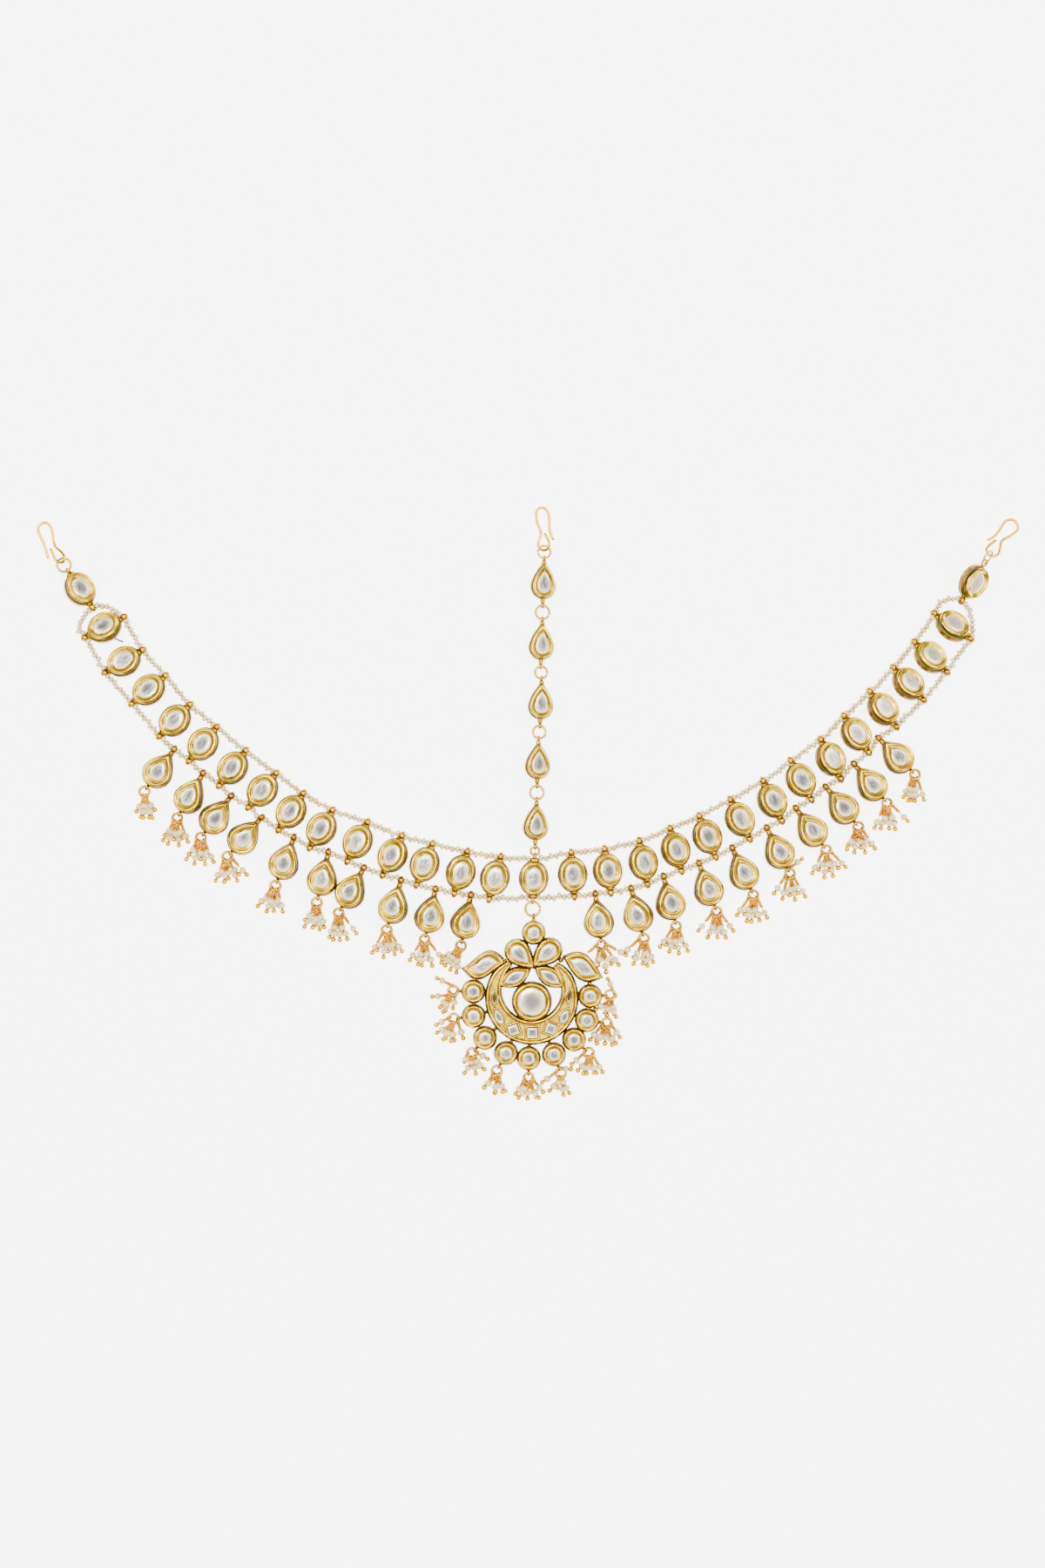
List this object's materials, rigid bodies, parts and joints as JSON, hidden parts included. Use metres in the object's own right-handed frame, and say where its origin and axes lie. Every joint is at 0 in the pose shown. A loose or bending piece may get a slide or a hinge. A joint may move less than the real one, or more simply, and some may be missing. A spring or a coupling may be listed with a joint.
{
  "type": "matha patti",
  "caption": "Matha patti: a forehead band of gold ovals set with flat polki stones on seed-pearl strings, with a parting stem, tasselled drops, a crescent pendant and wire hooks.",
  "frame": {"origin": "on the flat back of the band's middle oval, on the surface that the piece lies on", "axes": "+X towards the right end of the band as seen from the front, +Y up the parting stem, +Z out of the face of the stones"},
  "size_m": [0.3051, 0.1846, 0.0082],
  "materials": {
    "gold": "polished gold plate",
    "wire": "satin gold-plated wire",
    "stone": "flat polished, foil-backed",
    "pearl": "satin nacre",
    "tassel": "wire pins, pearls and small gold balls"
  },
  "bodies": {
    "root": {"band_setting_01": "gold", "band_setting_02": "gold", "band_setting_03": "gold", "band_setting_04": "gold", "band_setting_05": "gold", "band_setting_06": "gold", "band_setting_07": "gold", "band_setting_08": "gold", "band_setting_09": "gold", "band_setting_10": "gold", "band_setting_11": "gold", "band_setting_12": "gold", "band_setting_13": "gold", "band_setting_14": "gold", "band_setting_15": "gold", "band_setting_16": "gold", "band_setting_17": "gold", "band_setting_18": "gold", "band_setting_19": "gold", "band_setting_20": "gold", "band_setting_21": "gold", "band_setting_22": "gold", "band_setting_23": "gold", "band_setting_24": "gold", "band_setting_25": "gold", "band_setting_26": "gold", "band_setting_27": "gold", "band_setting_28": "gold", "band_setting_29": "gold", "stem_setting_1": "gold", "stem_setting_2": "gold", "stem_setting_3": "gold", "stem_setting_4": "gold", "stem_setting_5": "gold", "end_setting_left": "gold", "end_setting_right": "gold", "drop_settings_left": "gold", "drop_settings_right": "gold", "pendant_frame": "gold", "hook_left": "wire", "hook_right": "wire", "hook_top": "wire", "hook_ring_left": "wire", "hook_ring_right": "wire", "hook_ring_top": "wire", "stem_rings": "wire", "pendant_ring": "wire", "band_stones": "stone", "end_stones": "stone", "stem_stones": "stone", "drop_stones": "stone", "pendant_stones": "stone", "pearl_string_upper": "pearl", "pearl_string_lower": "pearl", "tassels_left": "tassel", "tassels_right": "tassel", "tassels_pendant": "tassel"}
  },
  "joints": []
}
